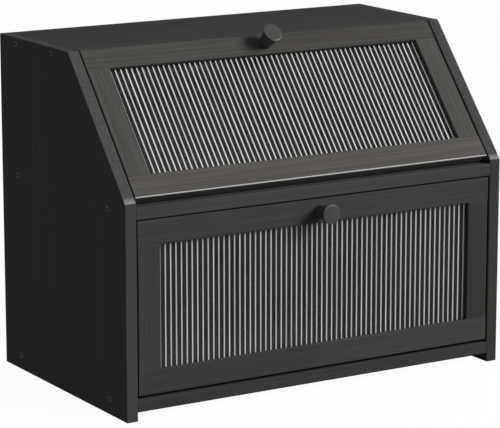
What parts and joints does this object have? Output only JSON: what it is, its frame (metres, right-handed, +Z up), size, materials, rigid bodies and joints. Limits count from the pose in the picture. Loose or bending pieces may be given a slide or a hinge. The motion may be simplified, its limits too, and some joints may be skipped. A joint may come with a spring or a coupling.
{
  "type": "bread box",
  "caption": "Two-tier counter bread box: a five-sided cabinet with a fluted glass lid on its slope and a fluted glass drop-front door below.",
  "frame": {"origin": "on the counter, under the centre of the whole box's extent (knobs included)", "axes": "+X across the box to the right seen from the front, -Y out of the front, +Z up"},
  "size_m": [0.42, 0.2702, 0.3428],
  "materials": {
    "black_bamboo": "black stained and sealed bamboo board, satin",
    "black_back_board": "black stained thin board, satin",
    "dark_stained_frame": "dark stained bamboo with fine long grain, satin",
    "black_knob_wood": "turned wood, black stain, satin",
    "fluted_glass": "clear reeded glass, gloss",
    "cabinet_screw_steel": "zinc plated steel",
    "wood_screw_steel": "zinc plated steel",
    "pin_steel": "ground steel",
    "plate_steel": "plated steel",
    "nickel_plated_magnet": "nickel plated"
  },
  "bodies": {
    "cabinet": {"left_side_panel": "black_bamboo", "right_side_panel": "black_bamboo", "top_board": "black_bamboo", "middle_shelf": "black_bamboo", "bottom_board": "black_bamboo", "back_panel": "black_back_board", "top_board_screws": "cabinet_screw_steel", "shelf_screws": "cabinet_screw_steel", "bottom_board_screws": "cabinet_screw_steel", "door_stop_cleat": "black_bamboo", "cleat_screws": "wood_screw_steel", "lid_magnets": "nickel_plated_magnet", "door_magnets": "nickel_plated_magnet"},
    "lid": {"lid_top_rail": "dark_stained_frame", "lid_bottom_rail": "dark_stained_frame", "lid_left_stile": "dark_stained_frame", "lid_right_stile": "dark_stained_frame", "lid_pane": "fluted_glass", "lid_knob": "black_knob_wood", "lid_knob_screw": "wood_screw_steel", "lid_pivot_pins": "pin_steel", "lid_strike_plates": "plate_steel"},
    "door": {"door_top_rail": "dark_stained_frame", "door_bottom_rail": "dark_stained_frame", "door_left_stile": "dark_stained_frame", "door_right_stile": "dark_stained_frame", "door_pane": "fluted_glass", "door_knob": "black_knob_wood", "door_knob_screw": "wood_screw_steel", "door_pivot_pins": "pin_steel", "door_strike_plates": "plate_steel"}
  },
  "joints": [
    {"name": "lid_hinge", "type": "hinge", "parent": "cabinet", "child": "lid", "pos_m": [0, -0.10276, 0.20941], "axis": [1, 0, 0], "range_deg": [0, 138]},
    {"name": "door_hinge", "type": "hinge", "parent": "cabinet", "child": "door", "pos_m": [0, -0.1081, 0.02891], "axis": [1, 0, 0], "range_deg": [0, 90]}
  ]
}
